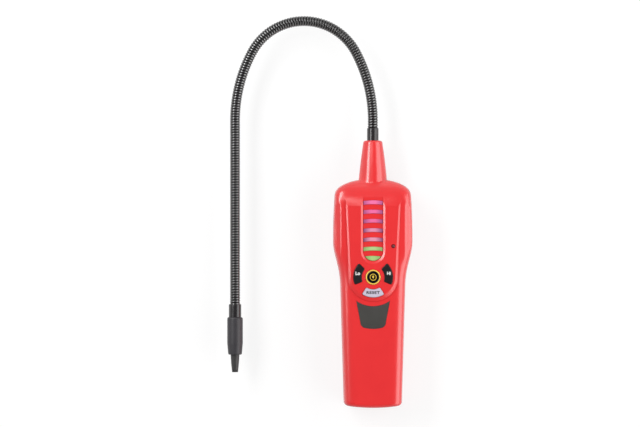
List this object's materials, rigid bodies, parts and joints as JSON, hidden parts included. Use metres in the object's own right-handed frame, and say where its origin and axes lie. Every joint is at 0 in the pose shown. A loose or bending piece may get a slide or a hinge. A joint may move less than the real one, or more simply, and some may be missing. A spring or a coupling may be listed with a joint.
{
  "type": "refrigerant leak detector",
  "caption": "Handheld refrigerant leak detector: red two-shell handset with keys and a light column, and a bendable gooseneck carrying a sensor probe.",
  "frame": {"origin": "on the flat back of the handset, straight behind the power button", "axes": "+X to the right of the front face, +Y from the handle to the neck, +Z out of the front face"},
  "size_m": [0.1458, 0.3075, 0.0376],
  "materials": {
    "red_abs": "fine satin",
    "black_abs": "satin",
    "yellow_abs": "satin",
    "grey_abs": "satin",
    "plate_film": "matt",
    "pink_lens": "gloss",
    "green_lens": "gloss",
    "red_lens": "gloss",
    "switch_nylon": "matt",
    "ivory_nylon": "satin",
    "board_laminate": "satin",
    "steel": "bright",
    "lead_pvc": "matt",
    "cell_can": "satin",
    "coil_black": "black satin",
    "sleeve_black": "gloss",
    "grip_grey": "matt",
    "tip_grey": "matt"
  },
  "bodies": {
    "handset": {"front_shell": "red_abs", "rear_shell": "red_abs", "shell_screws": "steel", "name_plate": "plate_film", "tact_switches": "switch_nylon", "bar_leds": "ivory_nylon", "status_lamp": "red_lens", "main_board": "board_laminate", "board_screws": "steel", "controller_chip": "switch_nylon", "sounder": "switch_nylon", "lead_plug": "ivory_nylon", "sensor_lead": "lead_pvc", "battery_leads": "lead_pvc", "cell_1": "cell_can", "cell_2": "cell_can", "cell_3": "cell_can", "cell_4": "cell_can", "contact_springs": "steel", "contact_plates": "steel", "neck_sleeve": "sleeve_black", "neck_base": "coil_black", "light_bar_1": "pink_lens", "light_bar_2": "pink_lens", "light_bar_3": "pink_lens", "light_bar_4": "pink_lens", "light_bar_5": "pink_lens", "light_bar_6": "green_lens", "light_bar_7": "green_lens"},
    "power_button": {"power_button": "black_abs", "power_ring": "yellow_abs", "power_plunger": "switch_nylon"},
    "low_key": {"low_key": "black_abs", "low_plunger": "switch_nylon"},
    "high_key": {"high_key": "black_abs", "high_plunger": "switch_nylon"},
    "reset_key": {"reset_key": "grey_abs", "reset_plunger": "switch_nylon"},
    "battery_door": {"battery_door": "red_abs"},
    "arch_right": {"neck_arch_right": "coil_black"},
    "arch_left": {"neck_arch_left": "coil_black"},
    "leg_upper": {"neck_leg_upper": "coil_black"},
    "leg_lower": {"neck_leg_lower": "coil_black"},
    "probe": {"neck_tail": "coil_black", "probe_sleeve": "sleeve_black", "probe_grip": "grip_grey", "sensor_socket": "ivory_nylon", "sensor_can": "steel"},
    "tip_guard": {"tip_guard": "tip_grey"}
  },
  "joints": [
    {"name": "power_button_press", "type": "slide", "parent": "handset", "child": "power_button", "axis": [0, 0, -1], "range_m": [0, 0.0006], "stiffness_N_per_m": 2500},
    {"name": "low_key_press", "type": "slide", "parent": "handset", "child": "low_key", "axis": [0, 0, -1], "range_m": [0, 0.0006], "stiffness_N_per_m": 2500},
    {"name": "high_key_press", "type": "slide", "parent": "handset", "child": "high_key", "axis": [0, 0, -1], "range_m": [0, 0.0006], "stiffness_N_per_m": 2500},
    {"name": "reset_key_press", "type": "slide", "parent": "handset", "child": "reset_key", "axis": [0, 0, -1], "range_m": [0, 0.0006], "stiffness_N_per_m": 2500},
    {"name": "battery_door_slide", "type": "slide", "parent": "handset", "child": "battery_door", "axis": [0, -1, 0], "range_m": [0, 0.075]},
    {"name": "neck_bend_right", "type": "hinge", "parent": "handset", "child": "arch_right", "pos_m": [-0.0034, 0.15062, 0.018], "axis": [0, 0, 1], "range_deg": [-25, 4]},
    {"name": "neck_bend_crown", "type": "hinge", "parent": "arch_right", "child": "arch_left", "pos_m": [-0.05421, 0.20121, 0.018], "axis": [0, 0, 1], "range_deg": [-25, 4]},
    {"name": "neck_bend_left", "type": "hinge", "parent": "arch_left", "child": "leg_upper", "pos_m": [-0.10501, 0.15062, 0.018], "axis": [0, 0, 1], "range_deg": [-25, 4]},
    {"name": "neck_bend_leg", "type": "hinge", "parent": "leg_upper", "child": "leg_lower", "pos_m": [-0.10841, 0.0779, 0.018], "axis": [-1, 0, 0], "range_deg": [-2, 25]},
    {"name": "neck_bend_low", "type": "hinge", "parent": "leg_lower", "child": "probe", "pos_m": [-0.10841, 0.0186, 0.018], "axis": [-1, 0, 0], "range_deg": [-3, 25]},
    {"name": "tip_guard_pull", "type": "slide", "parent": "probe", "child": "tip_guard", "axis": [0, -1, 0], "range_m": [0, 0.022]}
  ]
}
